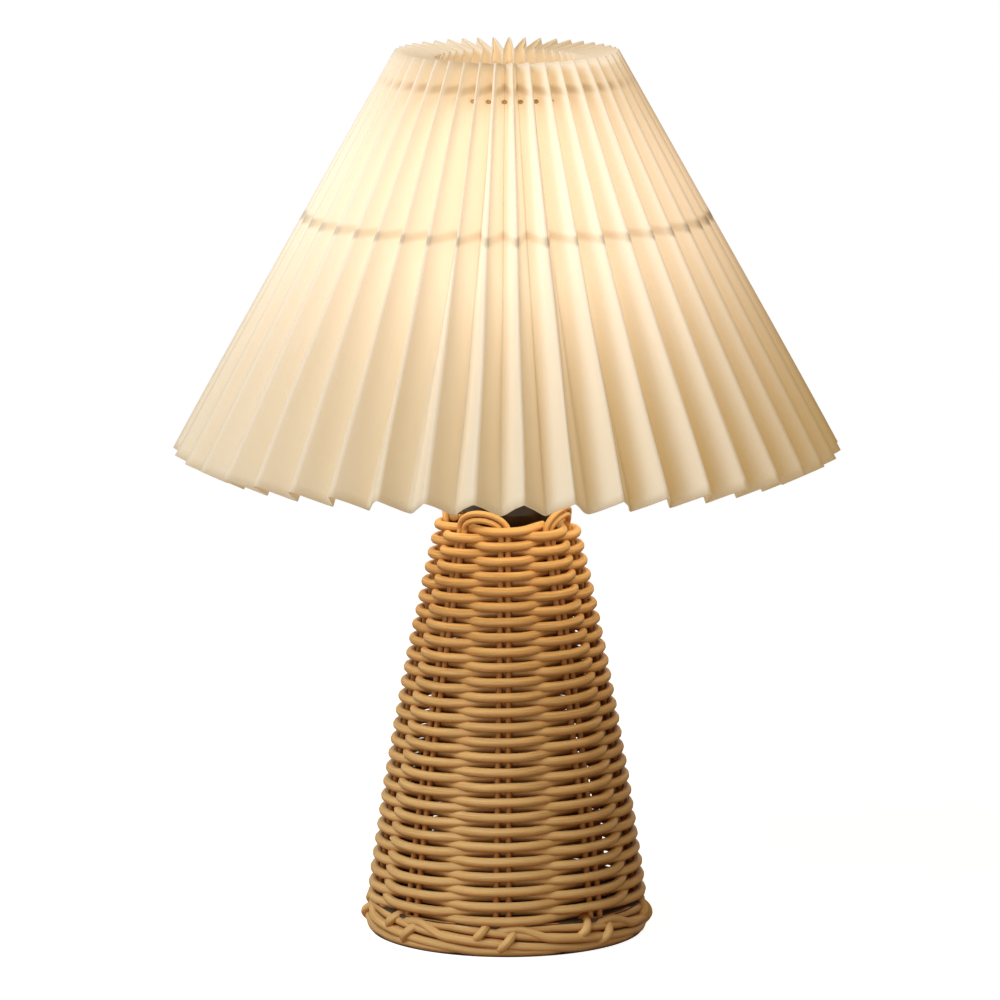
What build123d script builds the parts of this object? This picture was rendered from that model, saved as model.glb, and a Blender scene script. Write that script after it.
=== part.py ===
from build123d import *
import os
from math import asin, atan2, cos, degrees, pi, radians, sin, sqrt

# Table lamp with a woven cane foot, a pleated cloth shade and a screw-in bulb, in millimetres.
# The origin lies on the table under the lamp's axis, with +Z up and the lamp's front towards -Y.
# Angles round the lamp are counted in degrees from the front and grow towards +X.

# Pleated shade
shade_top_height = 400.0
shade_drop = 178.0
shade_neck_radius = 50.0
shade_mouth_radius = 150.0
pleat_count = 43
pleat_face_width = 21.2
cloth_thickness = 0.5
ridge_angle = 2.8
seam_gap = 0.4
cloth_row_count = 6

# Hoops in the folds of the shade
hoop_diameter = 2.0
hoop_clearance = 0.15
neck_hoop_drop = 17.3
waist_hoop_drop = 76.0

# Woven wall of the foot
stake_pair_count = 8
first_pair_angle = -2.0
stake_diameter = 2.8
stake_foot_radius = 58.1
stake_rim_radius = 27.2
wall_bulge = 2.2
rim_height = 186.0
pair_gap_foot = 5.8
pair_gap_rim = 3.1
loop_rise = 8.6
weaver_width = 3.6
weaver_height = 3.0
weaver_pitch = 6.59
weaver_start_height = 15.8
weaver_end_height = 188.5
weave_clearance = 0.15
stake_wrap_angle = 7.0
stake_leg_count = 4
stake_arch_count = 8

# Rolled border at the foot
border_radius = 63.8
border_belly_height = 8.0
border_rounding = 0.025
border_reed_step = 3.05
border_clearance = 0.6
border_level_angle = 27.0
border_level_count = 4
border_dip_count = 4

# Pad, board and ballast
pad_radius = 62.0
pad_thickness = 2.0
board_thickness = 12.0
ballast_radius = 45.0
ballast_thickness = 8.0
nut_well_radius = 11.5
nut_well_depth = 7.5
cord_channel_width = 7.0
cord_channel_depth = 6.5

# Centre tube and its fasteners
tube_diameter = 10.0
tube_bore = 8.0
thread_clearance = 0.1
hole_clearance = 0.3
nut_across_flats = 17.0
nut_thickness = 5.0
washer_diameter = 20.0
washer_thickness = 1.5
tube_tail = 0.4
neck_disc_radius = 23.2
neck_disc_thickness = 10.0
neck_disc_top = 178.0

# Lampholder
cup_foot_radius = 11.0
cup_radius = 20.5
cup_shoulder = 13.0
cup_height = 22.0
cup_swell_angle = 60.0
cup_swell_start_angle = 14.0
cup_wall = 2.2
core_foot_thickness = 4.0
core_radius = 15.5
core_height = 19.0
core_well_radius = 8.0
core_top_thickness = 4.0
core_clearance = 0.3
skirt_radius = 19.8
skirt_bore_radius = 16.6
skirt_flange_thickness = 3.0
skirt_height = 41.0
shell_bore_radius = 13.4
shell_wall = 0.6
shell_height = 28.0
contact_radius = 4.5
contact_thickness = 1.2

# Shade bracket and the rings that clamp it
ring_nut_radius = 25.0
ring_nut_thickness = 5.5
ring_nut_notches = 10
ring_nut_notch_radius = 1.6
ring_nut_clearance = 0.15
bracket_plate_radius = 25.5
bracket_plate_thickness = 1.5
bracket_rise = 31.5
bracket_wire = 3.0
bracket_arm_count = 3
bracket_bend_radius = 4.0
shade_seat_gap = 0.3

# Bulb
bulb_seat_gap = 0.3
bulb_contact_radius = 4.8
bulb_contact_thickness = 1.6
bulb_insulator_height = 5.4
bulb_insulator_radius = 11.0
bulb_cap_radius = 13.0
bulb_cap_wall = 0.6
bulb_cap_height = 23.0
bulb_body_height = 43.0
bulb_radius = 27.5
bulb_wall = 1.8
bulb_spigot_height = 6.0
bulb_waist_radius = 19.8
bulb_dome_height = 30.0
dome_flat_count = 6

# Values that follow from the sizes above
pair_angle = 360 / stake_pair_count
tube_radius = tube_diameter / 2
stake_radius = stake_diameter / 2
board_base = pad_thickness
board_top = board_base + board_thickness
ballast_top = board_top + ballast_thickness
nut_well_top = board_base + nut_well_depth
cup_base = neck_disc_top + washer_thickness
core_base = cup_base + cup_shoulder
core_top = core_base + core_height
skirt_base = cup_base + cup_height
tube_base = nut_well_top - washer_thickness - nut_thickness - tube_tail
contact_top = core_top + contact_thickness
bulb_base = contact_top + bulb_seat_gap
bulb_insulator_base = bulb_base + bulb_contact_thickness
bulb_cap_base = bulb_insulator_base + bulb_insulator_height
bulb_body_base = bulb_cap_base + bulb_cap_height
bulb_dome_base = bulb_body_base + bulb_body_height
border_top_height = weaver_start_height - weaver_height / 2 - weave_clearance - stake_radius
border_low_height = border_top_height - 3 * border_reed_step
border_dip_angle = pair_angle - border_level_angle
bracket_plate_height = skirt_base + bracket_rise
neck_hoop_height = shade_top_height - neck_hoop_drop
waist_hoop_height = shade_top_height - waist_hoop_drop
shade_lean = atan2(shade_mouth_radius - shade_neck_radius, shade_drop)
shade_base_height = shade_top_height - shade_drop
fold_angle = 180 / pleat_count


def around(angle, radius, height, aside=0.0):
    """A point at an angle round the lamp, moved aside along the circle's tangent."""
    turn = radians(angle)
    return Vector(
        radius * sin(turn) + aside * cos(turn),
        -radius * cos(turn) + aside * sin(turn),
        height,
    )


def turned(*outline):
    """A solid turned about the lamp's axis from an outline of radius and height pairs."""
    return revolve(Plane.XZ * make_face(Polyline(*outline, close=True)), Axis.Z)


def ring(inner_radius, outer_radius, base, top):
    """A flat ring about the lamp's axis."""
    return turned((inner_radius, base), (outer_radius, base), (outer_radius, top), (inner_radius, top))


def cane(path, width, height):
    """A six-sided cane through points given as (place, radial direction, direction across)."""
    corners = [(1, 0), (0.5, 1), (-0.5, 1), (-1, 0), (-0.5, -1), (0.5, -1)]
    sections = []
    for place, radial, across in path:
        points = [
            place + radial * (u * width / 2) + across * (v * height / 2)
            for u, v in corners
        ]
        sections.append(Wire.make_polygon(points, close=True))
    return Solid.make_loft(sections, ruled=True)


def radial_direction(angle):
    """The direction away from the lamp's axis at an angle round it."""
    return around(angle, 1, 0)


def wall_radius(height):
    """Distance of the stakes from the lamp's axis, the same all the way above the rim."""
    rise = min(1, (height - board_top) / (rim_height - board_top))
    straight = stake_foot_radius + (stake_rim_radius - stake_foot_radius) * rise
    return straight + 4 * wall_bulge * rise * (1 - rise)


def pair_half_angle(height):
    """Half of the angle between the two stakes of a pair."""
    rise = (height - board_top) / (rim_height - board_top)
    gap = pair_gap_foot + (pair_gap_rim - pair_gap_foot) * rise
    return degrees(asin(gap / 2 / wall_radius(height)))


def framed(points, angles):
    """Points of a path with the radial direction and the one square to it and to the path."""
    path = []
    last = len(points) - 1
    for index, place in enumerate(points):
        along = (points[min(index + 1, last)] - points[max(index - 1, 0)]).normalized()
        radial = radial_direction(angles[index])
        across = along.cross(radial).normalized()
        path.append((place, radial, across))
    return path


def stake_loop(start_angle, outer):
    """One cane of a hairpin: up beside one stake place, over the rim, down beside the next."""
    side = -1 if outer else 1
    rise = loop_rise if outer else loop_rise - pair_gap_rim
    leg = rim_height - board_top
    heights = [board_top + leg * step / stake_leg_count for step in range(stake_leg_count + 1)]
    up_angles = [start_angle + side * pair_half_angle(height) for height in heights]
    down_angles = [start_angle + pair_angle - side * pair_half_angle(height) for height in heights]
    middle = start_angle + pair_angle / 2
    half_span = middle - up_angles[-1]
    places = [around(angle, wall_radius(height), height) for angle, height in zip(up_angles, heights)]
    angles = list(up_angles)
    for step in range(1, stake_arch_count):
        turn = pi * step / stake_arch_count
        angle = middle - half_span * cos(turn)
        places.append(around(angle, stake_rim_radius, rim_height + rise * sin(turn)))
        angles.append(angle)
    for angle, height in zip(reversed(down_angles), reversed(heights)):
        places.append(around(angle, wall_radius(height), height))
        angles.append(angle)
    path = framed(places, angles)
    # Both feet stand flat on the board.
    for end in (0, -1):
        place, radial, across = path[end]
        path[end] = (place, radial, radial_direction(angles[end] + (90 if end else -90)))
    return cane(path, stake_diameter, stake_diameter)


def stake_hairpin(number):
    """Two canes bent together over the rim."""
    start = first_pair_angle + pair_angle * (2 * number - 1)
    return Compound([stake_loop(start, True), stake_loop(start, False)])


def weaver(first_in_front):
    """One cane wound up the wall, outside one stake pair and inside the next."""
    reach = stake_radius + weave_clearance + weaver_width / 2
    lift = 0 if first_in_front else weaver_pitch / 2
    passes = (weaver_end_height - weaver_start_height - lift) / weaver_pitch * stake_pair_count
    path = []
    for pass_number in range(int(passes) + 1):
        in_front = (pass_number % 2 == 0) == first_in_front
        for side in (-1, 1):
            turned_angle = pair_angle * pass_number + side * stake_wrap_angle
            height = weaver_start_height + lift + weaver_pitch * turned_angle / 360
            angle = first_pair_angle + turned_angle
            radius = wall_radius(height) - reach
            if in_front:
                radius = (wall_radius(height) + reach) / cos(radians(stake_wrap_angle))
            path.append((around(angle, radius, height), radial_direction(angle), Vector(0, 0, 1)))
    return cane(path, weaver_width, weaver_height)


def border_fall(turned_angle):
    """How far a border cane has sunk: it lies level, then dips past the next stake pair."""
    pairs_passed, rest = divmod(turned_angle, pair_angle)
    dip = max(0, rest - border_level_angle) / border_dip_angle
    return 2 * border_reed_step * (pairs_passed + dip * dip * (3 - 2 * dip))


def border_cane(start_angle, start_height):
    """One cane of the border, laid level round the foot before and after one dip."""
    level = [border_level_angle * step / border_level_count for step in range(border_level_count + 1)]
    dip = [border_level_angle + border_dip_angle * step / border_dip_count for step in range(1, border_dip_count)]
    turns = level + dip + [pair_angle + turn for turn in level]
    path = []
    for turn in turns:
        angle = start_angle + turn
        height = start_height - border_fall(turn)
        radius = border_radius - border_rounding * (height - border_belly_height) ** 2
        path.append((around(angle, radius, height), radial_direction(angle), Vector(0, 0, 1)))
    return cane(path, stake_diameter, stake_diameter)


def border_pair(number):
    """Two canes of the border that start beside one pair of stakes."""
    start_angle = first_pair_angle + pair_angle * (number - 1)
    lower_start = border_top_height - border_reed_step
    return Compound([border_cane(start_angle, border_top_height), border_cane(start_angle, lower_start)])


def fold_depth(ridge_radius):
    """Depth of the folds, square to the cone, that keeps the width of the pleats' faces."""
    swing = 1 - cos(radians(fold_angle))
    half = ridge_radius * cos(shade_lean) * swing
    return half + sqrt(half ** 2 - 2 * ridge_radius ** 2 * swing + pleat_face_width ** 2)


def fold_ends(valley):
    """Radius, height and half thickness of a fold line at the shade's top and bottom."""
    ends = []
    for radius, height in ((shade_neck_radius, shade_top_height), (shade_mouth_radius, shade_base_height)):
        depth = fold_depth(radius)
        step_aside = (radius - depth * cos(shade_lean) / 2) * sin(radians(fold_angle))
        half_thickness = cloth_thickness / 2 * pleat_face_width / step_aside
        inward = half_thickness + (depth if valley else 0)
        ends.append((radius - inward * cos(shade_lean), height - inward * sin(shade_lean), half_thickness))
    return ends


def fold_rows(angle, valley, aside=0.0):
    """Outer and inner points of the cloth down one fold line, from the top to the bottom."""
    (top_radius, top, top_half), (low_radius, low, low_half) = fold_ends(valley)
    rows = []
    for row in range(cloth_row_count + 1):
        share = row / cloth_row_count
        radius = top_radius + (low_radius - top_radius) * share
        height = top + (low - top) * share
        half = top_half + (low_half - top_half) * share
        out_radial = half * cos(shade_lean)
        out_up = half * sin(shade_lean)
        outer = around(angle, radius + out_radial, height + out_up, aside)
        inner = around(angle, radius - out_radial, height - out_up, aside)
        rows.append((outer, inner))
    return rows


def flat_pair(first, second, third, fourth):
    """Two flat triangles that fill four corners."""
    return [
        Face(Wire.make_polygon([first, second, third])),
        Face(Wire.make_polygon([first, third, fourth])),
    ]


def pleated_shade():
    """Cloth folded to and fro round a cone, with its two ends meeting in a valley at the back."""
    seam = ridge_angle + fold_angle * (pleat_count if pleat_count % 2 else pleat_count + 1)
    folds = [fold_rows(seam, True, seam_gap / 2)]
    for fold in range(1, 2 * pleat_count):
        folds.append(fold_rows(seam + fold_angle * fold, fold % 2 == 0))
    folds.append(fold_rows(seam, True, -seam_gap / 2))
    faces = []
    for here, after in zip(folds, folds[1:]):
        for row in range(cloth_row_count):
            for side in (0, 1):
                faces += flat_pair(here[row][side], after[row][side], after[row + 1][side], here[row + 1][side])
        for row in (0, cloth_row_count):
            faces += flat_pair(here[row][0], after[row][0], after[row][1], here[row][1])
    for end in (folds[0], folds[-1]):
        for row in range(cloth_row_count):
            faces += flat_pair(end[row][0], end[row][1], end[row + 1][1], end[row + 1][0])
    return Solid(Shell(faces))


def hoop_radius(height):
    """Radius of a hoop that lies against the inner folds of the shade at a height."""
    (top_radius, top, top_half), (low_radius, low, low_half) = fold_ends(True)
    share = (top - height) / (top - low)
    half = top_half + (low_half - top_half) * share
    valley = top_radius + (low_radius - top_radius) * share
    return valley - (half + hoop_diameter / 2 + hoop_clearance) / cos(shade_lean)


def wire_hoop(radius, height, wire):
    """A closed hoop of wire about the lamp's axis."""
    profile = Plane.XZ * Pos(radius, height) * RegularPolygon(wire / 2, 6)
    return revolve(profile, Axis.Z)


def foot_pad():
    """Pad under the lamp, open in the middle below the nut."""
    return ring(nut_well_radius, pad_radius, 0, pad_thickness)


def base_board():
    """Round board with a well for the nut and a channel that leads the supply to the back."""
    board = ring(tube_radius + hole_clearance, board_radius(), board_base, board_top)
    board -= ring(0, nut_well_radius, board_base, nut_well_top)
    channel = Box(
        cord_channel_width,
        2 * board_radius(),
        cord_channel_depth,
        align=(Align.CENTER, Align.MIN, Align.MIN),
    )
    return board - Pos(0, 0, board_base) * channel


def board_radius():
    """The board fills the border up to a clearance from its narrowest cane."""
    reach = max(border_top_height - border_belly_height, border_belly_height - border_low_height)
    return border_radius - border_rounding * reach ** 2 - stake_radius - border_clearance


def ballast_plate():
    """Steel weight on the board."""
    return ring(tube_radius + hole_clearance, ballast_radius, board_top, ballast_top)


def washer(base):
    """Flat washer on the centre tube."""
    return ring(tube_radius + hole_clearance, washer_diameter / 2, base, base + washer_thickness)


def nut(base):
    """Thin hexagon nut on the centre tube."""
    outline = RegularPolygon(nut_across_flats / 2, 6, major_radius=False)
    outline -= Circle(tube_radius + thread_clearance)
    return extrude(Pos(0, 0, base) * outline, nut_thickness)


def centre_tube():
    """Hollow tube from the board to the lampholder, with the supply's way inside."""
    return ring(tube_bore / 2, tube_radius, tube_base, core_base)


def neck_disc():
    """Wooden disc that fills the neck of the woven foot."""
    return ring(
        tube_radius + hole_clearance,
        neck_disc_radius,
        neck_disc_top - neck_disc_thickness,
        neck_disc_top,
    )


def lampholder_cup():
    """Lower half of the lampholder, screwed on the tube."""
    bore = tube_radius + thread_clearance
    start = (cos(radians(cup_swell_start_angle)), sin(radians(cup_swell_start_angle)))
    swell = JernArc((cup_foot_radius, cup_base), start, cup_radius - cup_foot_radius, cup_swell_angle)
    wall = Polyline(
        swell @ 1,
        (cup_radius, cup_base + cup_shoulder),
        (cup_radius, skirt_base),
        (cup_radius - cup_wall, skirt_base),
        (cup_radius - cup_wall, core_base),
        (bore, core_base),
        (bore, cup_base),
        (cup_foot_radius, cup_base),
    )
    return revolve(Plane.XZ * make_face([swell, wall]), Axis.Z)


def lampholder_core():
    """Insulating core that carries the contacts."""
    foot_radius = cup_radius - cup_wall - core_clearance
    foot_top = core_base + core_foot_thickness
    return turned(
        (core_well_radius, core_base),
        (foot_radius, core_base),
        (foot_radius, foot_top),
        (core_radius, foot_top),
        (core_radius, core_top),
        (0, core_top),
        (0, core_top - core_top_thickness),
        (core_well_radius, core_top - core_top_thickness),
    )


def lampholder_skirt():
    """Upper half of the lampholder, threaded outside for the shade rings."""
    flange_top = skirt_base + skirt_flange_thickness
    return turned(
        (skirt_bore_radius, skirt_base),
        (cup_radius, skirt_base),
        (cup_radius, flange_top),
        (skirt_radius, flange_top),
        (skirt_radius, skirt_base + skirt_height),
        (skirt_bore_radius, skirt_base + skirt_height),
    )


def screw_shell():
    """Brass sleeve that takes the bulb's cap."""
    return ring(shell_bore_radius, shell_bore_radius + shell_wall, core_top, core_top + shell_height)


def centre_contact():
    """Brass contact under the bulb."""
    return ring(0, contact_radius, core_top, contact_top)


def shade_ring(base):
    """Ring nut on the lampholder, notched for the fingers."""
    body = ring(skirt_radius + ring_nut_clearance, ring_nut_radius, base, base + ring_nut_thickness)
    notch = Pos(ring_nut_radius, 0, base) * Cylinder(
        ring_nut_notch_radius,
        ring_nut_thickness,
        align=(Align.CENTER, Align.CENTER, Align.MIN),
    )
    for number in range(ring_nut_notches):
        body -= Rot(0, 0, 360 / ring_nut_notches * number) * notch
    return body


def bracket_plate():
    """Flat ring clamped between the two ring nuts."""
    return ring(
        skirt_radius + hole_clearance,
        bracket_plate_radius,
        bracket_plate_height,
        bracket_plate_height + bracket_plate_thickness,
    )


def bracket_ring_height():
    """Height of the wire ring's middle, just under the hoop in the shade's neck."""
    return neck_hoop_height - hoop_diameter / 2 - shade_seat_gap - bracket_wire / 2


def bracket_arm(number):
    """Wire from the clamped plate out and up to the wire ring."""
    reach = hoop_radius(neck_hoop_height)
    middle = bracket_plate_height + bracket_plate_thickness / 2
    path = FilletPolyline(
        (bracket_plate_radius, 0, middle),
        (reach, 0, middle),
        (reach, 0, bracket_ring_height() - bracket_wire / 2),
        radius=bracket_bend_radius,
    )
    section = Plane(origin=path @ 0, x_dir=(0, 1, 0), z_dir=path % 0) * RegularPolygon(bracket_wire / 2, 6)
    return Rot(0, 0, 360 / bracket_arm_count * (number - 1) + 90) * sweep(section, path)


def bulb_insulator():
    """Insulating cone between the bulb's two contacts."""
    return turned(
        (0, bulb_insulator_base),
        (bulb_contact_radius + bulb_cap_wall, bulb_insulator_base),
        (bulb_insulator_radius, bulb_cap_base),
        (0, bulb_cap_base),
    )


def bulb_cap():
    """Metal screw cap, open at the top."""
    return turned(
        (0, bulb_cap_base),
        (bulb_insulator_radius + bulb_cap_wall, bulb_cap_base),
        (bulb_cap_radius, bulb_cap_base + 2 * bulb_cap_wall),
        (bulb_cap_radius, bulb_body_base),
        (bulb_cap_radius - bulb_cap_wall, bulb_body_base),
        (bulb_cap_radius - bulb_cap_wall, bulb_cap_base + 2 * bulb_cap_wall),
        (0, bulb_cap_base + 2 * bulb_cap_wall),
    )


def bulb_body():
    """Flared housing of the bulb, with a spigot in the screw cap."""
    spigot = bulb_cap_radius - bulb_cap_wall - thread_clearance
    inner = spigot - bulb_wall
    spigot_base = bulb_body_base - bulb_spigot_height
    waist = bulb_body_base + bulb_body_height / 2
    return turned(
        (inner, spigot_base),
        (spigot, spigot_base),
        (spigot, bulb_body_base),
        (bulb_cap_radius, bulb_body_base),
        (bulb_waist_radius, waist),
        (bulb_radius, bulb_dome_base),
        (bulb_radius - bulb_wall, bulb_dome_base),
        (bulb_waist_radius - bulb_wall, waist),
        (inner, bulb_body_base),
    )


def bulb_dome():
    """Opal dome that closes the bulb."""
    outer = []
    inner = []
    for step in range(dome_flat_count + 1):
        turn = pi / 2 * step / dome_flat_count
        outer.append((bulb_radius * cos(turn), bulb_dome_base + bulb_dome_height * sin(turn)))
        inner.append((
            (bulb_radius - bulb_wall) * cos(turn),
            bulb_dome_base + (bulb_dome_height - bulb_wall) * sin(turn),
        ))
    outer[-1] = (0, bulb_dome_base + bulb_dome_height)
    inner[-1] = (0, bulb_dome_base + bulb_dome_height - bulb_wall)
    return turned(*outer, *reversed(inner))


def lamp_pieces():
    """All pieces of the lamp by name."""
    bracket_top = bracket_plate_height + bracket_plate_thickness
    base_washer = nut_well_top - washer_thickness
    pieces = {
        "foot_pad": foot_pad(),
        "base_board": base_board(),
        "ballast_plate": ballast_plate(),
        "centre_tube": centre_tube(),
        "base_washer": washer(base_washer),
        "base_nut": nut(base_washer - nut_thickness),
        "ballast_washer": washer(ballast_top),
        "ballast_nut": nut(ballast_top + washer_thickness),
        "neck_disc": neck_disc(),
        "neck_washer": washer(neck_disc_top),
        "neck_nut": nut(neck_disc_top - neck_disc_thickness - nut_thickness),
        "weaver_a": weaver(True),
        "weaver_b": weaver(False),
        "lampholder_cup": lampholder_cup(),
        "lampholder_core": lampholder_core(),
        "lampholder_skirt": lampholder_skirt(),
        "screw_shell": screw_shell(),
        "centre_contact": centre_contact(),
        "lower_shade_ring": shade_ring(bracket_plate_height - ring_nut_thickness),
        "upper_shade_ring": shade_ring(bracket_top),
        "bracket_plate": bracket_plate(),
        "bracket_ring": wire_hoop(hoop_radius(neck_hoop_height), bracket_ring_height(), bracket_wire),
        "pleated_shade": pleated_shade(),
        "neck_hoop": wire_hoop(hoop_radius(neck_hoop_height), neck_hoop_height, hoop_diameter),
        "waist_hoop": wire_hoop(hoop_radius(waist_hoop_height), waist_hoop_height, hoop_diameter),
        "bulb_contact": ring(0, bulb_contact_radius, bulb_base, bulb_insulator_base),
        "bulb_insulator": bulb_insulator(),
        "bulb_cap": bulb_cap(),
        "bulb_body": bulb_body(),
        "bulb_dome": bulb_dome(),
    }
    for number in range(1, stake_pair_count // 2 + 1):
        pieces[f"stake_hairpin_{number}"] = stake_hairpin(number)
    for number in range(1, stake_pair_count + 1):
        pieces[f"border_pair_{number}"] = border_pair(number)
    for number in range(1, bracket_arm_count + 1):
        pieces[f"bracket_arm_{number}"] = bracket_arm(number)
    return pieces


os.makedirs("parts", exist_ok=True)
for piece_name, piece in lamp_pieces().items():
    export_step(piece, f"parts/{piece_name}.step")
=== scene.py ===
"""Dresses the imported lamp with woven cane, a pleated cloth shade, a lit bulb and a plain stage."""

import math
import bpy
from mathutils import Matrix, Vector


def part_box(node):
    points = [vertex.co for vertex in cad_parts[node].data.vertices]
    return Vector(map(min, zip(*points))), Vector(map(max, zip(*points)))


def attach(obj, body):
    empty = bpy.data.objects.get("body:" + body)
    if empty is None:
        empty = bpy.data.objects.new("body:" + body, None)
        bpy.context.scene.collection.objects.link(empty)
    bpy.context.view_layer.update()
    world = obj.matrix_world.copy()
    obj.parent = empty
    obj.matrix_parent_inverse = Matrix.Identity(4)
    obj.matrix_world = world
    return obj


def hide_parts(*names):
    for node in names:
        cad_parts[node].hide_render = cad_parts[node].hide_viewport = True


bl_info = {
    "name": "Woven table lamp",
    "version": (1, 0, 0),
    "blender": (4, 5, 0),
    "location": "View3D > Sidebar > Lamp",
    "description": "Builds the woven foot, the pleated shade, the bulb and the stage round the packed lamp",
    "category": "Object",
}

import bpy
from mathutils import Vector

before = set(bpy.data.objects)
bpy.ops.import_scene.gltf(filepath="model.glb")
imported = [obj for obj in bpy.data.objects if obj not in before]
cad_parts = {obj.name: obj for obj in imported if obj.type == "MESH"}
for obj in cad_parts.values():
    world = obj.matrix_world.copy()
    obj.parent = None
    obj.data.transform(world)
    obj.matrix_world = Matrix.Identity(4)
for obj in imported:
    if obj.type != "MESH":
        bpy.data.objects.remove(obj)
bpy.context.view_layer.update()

MM = 0.001
SHADE_LOW, SHADE_TOP = (corner[2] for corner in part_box("pleated_shade"))
MOUTH_RADIUS = round(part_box("pleated_shade")[1][0], 3)
BOARD_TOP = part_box("base_board")[1][2]
NECK_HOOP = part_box("neck_hoop")
WAIST_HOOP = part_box("waist_hoop")
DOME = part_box("bulb_dome")


def middle(box):
    """Height of a box's middle."""
    return 0.5 * (box[0][2] + box[1][2])


def number(name, description, default, **kind):
    """A number that a user may change."""
    return bpy.props.FloatProperty(name=name, description=description, default=default, **kind)


def length(name, description, millimetres):
    """A length that a user may change, kept in metres."""
    return number(name, description, millimetres * MM, unit="LENGTH")


def angle(name, description, degrees):
    """An angle that a user may change, kept in radians."""
    return number(name, description, math.radians(degrees), subtype="ANGLE")


def count(name, description, default):
    """A number of like things that a user may change."""
    return bpy.props.IntProperty(name=name, description=description, default=default, min=1)


def colour(name, description, default):
    """A colour that a user may change, in linear light."""
    return bpy.props.FloatVectorProperty(
        name=name, description=description, default=default, subtype="COLOR", min=0, max=1
    )


def place(name, description, default):
    """A place on the stage that a user may change, in metres."""
    return bpy.props.FloatVectorProperty(
        name=name, description=description, default=default, subtype="TRANSLATION", unit="LENGTH"
    )


class LampFoot(bpy.types.PropertyGroup):
    """Sizes of the woven foot."""

    stake_pairs: count("Stake pairs", "Pairs of upright canes round the foot", 8)
    first_pair: angle("First pair", "Turn of the first stake pair from the front", -2.0)
    foot_radius: length("Foot radius", "Stakes' distance from the axis at the board", 58.1)
    rim_radius: length("Rim radius", "Stakes' distance from the axis at the rim", 27.2)
    bulge: length("Bulge", "How far the wall swells past a straight cone", 2.2)
    rim_height: length("Rim height", "Height at which the stakes arch over", 186)
    pair_gap_foot: length("Pair gap at foot", "Distance between the canes of a pair at the board", 5.8)
    pair_gap_rim: length("Pair gap at rim", "Distance between the canes of a pair at the rim", 3.1)
    loop_rise: length("Loop rise", "Height of the rim loops", 8.6)
    loop_bow: length("Loop bow", "How far the rim loops lean out", 1.2)
    stake_cane: length("Stake cane", "Thickness of the stakes", 2.8)
    weaver_cane: length("Weaver cane", "Thickness of the weavers", 4.3)
    weaver_pitch: length("Weaver pitch", "Rise of a weaver in one turn", 6.59)
    weaver_start: length("Weaver start", "Height of the lowest row", 15.8)
    weaver_end: length("Weaver end", "Height at which the weavers stop", 188.5)
    border_radius: length("Border radius", "Border's widest middle line", 62.4)
    border_belly: length("Border belly", "Height of the border's widest place", 6.5)
    border_cane: length("Border cane", "Thickness of the border's canes", 4.1)
    border_top: length("Border top", "Height at which a pair's first border cane comes out", 10.4)
    border_second: length("Border second", "Height at which a pair's second border cane comes out", 12.3)
    border_low: length("Border low", "Height of the lowest border cane", 2.4)
    border_drop: length("Border drop", "How far a border cane sinks from one stake pair to the next", 4.2)
    border_arch: length("Border arch", "How far a pair's first border cane arches up", 3.3)
    border_level: angle("Border level", "Turn that a pair's second cane runs level", 30.0)
    border_behind: length("Border behind", "How far a pair's second cane lies behind its first", 0.9)


class LampShade(bpy.types.PropertyGroup):
    """Sizes of the pleated shade."""

    top: length("Top", "Height of the outer folds' upper ends", SHADE_TOP / MM)
    drop: length("Drop", "Height of the outer folds", 178)
    neck_radius: length("Neck radius", "Outer folds' distance from the axis at the neck", 50)
    mouth_radius: length(
        "Mouth radius", "Outer folds' distance from the axis at the mouth", MOUTH_RADIUS / MM
    )
    pleats: count("Pleats", "Folds round the shade", 43)
    face_width: length("Face width", "Width of a pleat's flat face", 21.2)
    first_ridge: angle("First ridge", "Turn of the first outer fold from the front", 2.8)
    ridge_hang: length("Ridge hang", "How far the outer folds hang below a straight cut at the mouth", 1.4)
    crispness: number("Crispness", "How sharp the folds are, up to 1", 0.985)
    slack: number("Slack", "How unevenly the folds stand, in radians", 0.03)
    cloth: length("Cloth", "Thickness of the cloth", 0.4)
    hoop_wire: length("Hoop wire", "Thickness of the hoops", 2.0)
    tie: length("Tie", "Half of the thickness of the ties at the neck", 0.65)
    tie_inside: length("Tie inside", "How far the ties lie inside the outer folds", 2.0)
    tie_above: length("Tie above", "Height of the ties above the neck hoop's lower side", 0.5)


class LampBulb(bpy.types.PropertyGroup):
    """Sizes of the bulb."""

    dome_wall: length("Dome wall", "Thickness of the milky dome", 1.8)
    cap_pitch: length("Cap pitch", "Rise of the cap's thread in one turn", 3.62)
    cap_groove: length("Cap groove", "Depth of the cap's thread", 0.9)
    cap_bevel: length("Cap bevel", "Height of the cap's slanted foot", 1.2)


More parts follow.
